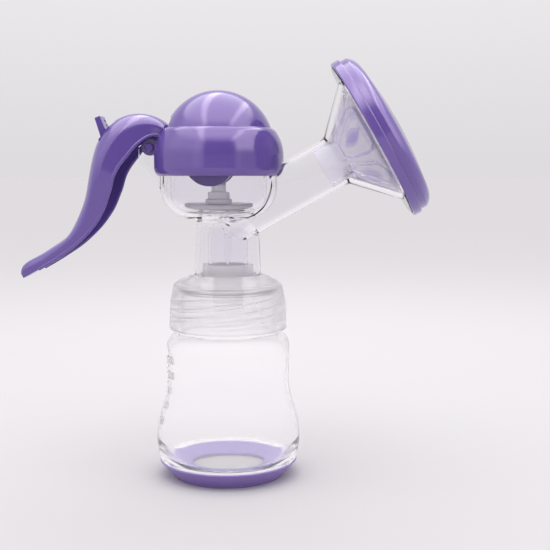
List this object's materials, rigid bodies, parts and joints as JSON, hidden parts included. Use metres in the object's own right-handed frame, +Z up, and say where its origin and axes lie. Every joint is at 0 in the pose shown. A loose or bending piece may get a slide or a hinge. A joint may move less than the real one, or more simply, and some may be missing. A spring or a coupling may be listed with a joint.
{
  "type": "breast pump",
  "caption": "Hand-worked breast pump: lever pulls a diaphragm under a dome, slanted lidded funnel, screw collar on a waisted clear bottle.",
  "frame": {"origin": "on the bottle's axis, at the table", "axes": "+Z up, +X from the bottle's axis towards the funnel, the lever on -X, +Y completing a right-handed set"},
  "size_m": [0.2011, 0.083, 0.2034],
  "materials": {
    "purple_plastic": "gloss, moulded",
    "clear_plastic": "clear, gloss",
    "bottle_plastic": "clear, satin",
    "collar_plastic": "translucent white, satin",
    "rod_plastic": "translucent, satin",
    "silicone": "clear silicone"
  },
  "bodies": {
    "bottle_base": {"bottle": "bottle_plastic", "base_ring": "purple_plastic"},
    "head": {"pump_body": "clear_plastic", "sealing_gasket": "silicone", "duckbill_valve": "silicone", "massage_cushion": "silicone", "handle_pin": "rod_plastic", "diaphragm": "silicone"},
    "collar": {"screw_collar": "collar_plastic"},
    "lever": {"handle": "purple_plastic", "selector_pin": "purple_plastic"},
    "selector": {"level_selector": "purple_plastic"},
    "rod": {"pull_rod": "rod_plastic"},
    "cover": {"dome_cover": "purple_plastic"},
    "lid": {"funnel_lid": "purple_plastic"}
  },
  "joints": [
    {"name": "head_lift", "type": "slide", "parent": "bottle_base", "child": "head", "axis": [0, 0, 1], "range_m": [0, 0.016]},
    {"name": "collar_turn", "type": "hinge", "parent": "head", "child": "collar", "pos_m": [0, 0, 0.085], "axis": [0, 0, 1], "range_deg": [0, 360]},
    {"name": "handle_squeeze", "type": "hinge", "parent": "head", "child": "lever", "pos_m": [-0.037, 0, 0.1615], "axis": [0, -1, 0], "range_deg": [0, 20], "stiffness_Nm_per_rad": 2, "springref_deg": -1.15},
    {"name": "rod_slide", "type": "slide", "parent": "head", "child": "rod", "axis": [0, 0, 1], "range_m": [0, 0.0118], "deforming": ["diaphragm"]},
    {"name": "selector_tilt", "type": "hinge", "parent": "lever", "child": "selector", "pos_m": [-0.0573, 0, 0.1642], "axis": [0, 1, 0], "range_deg": [0, 18]},
    {"name": "cover_lift", "type": "slide", "parent": "head", "child": "cover", "axis": [0, 0, 1], "range_m": [0, 0.045]},
    {"name": "lid_pull", "type": "slide", "parent": "head", "child": "lid", "axis": [0.8704, 0, 0.4924], "range_m": [0, 0.04]}
  ],
  "couplings": [
    {"joint": "collar_turn", "follows": "head_lift", "rad_per_m": 392.69},
    {"joint": "rod_slide", "follows": "handle_squeeze", "m_per_rad": 0.0335}
  ]
}
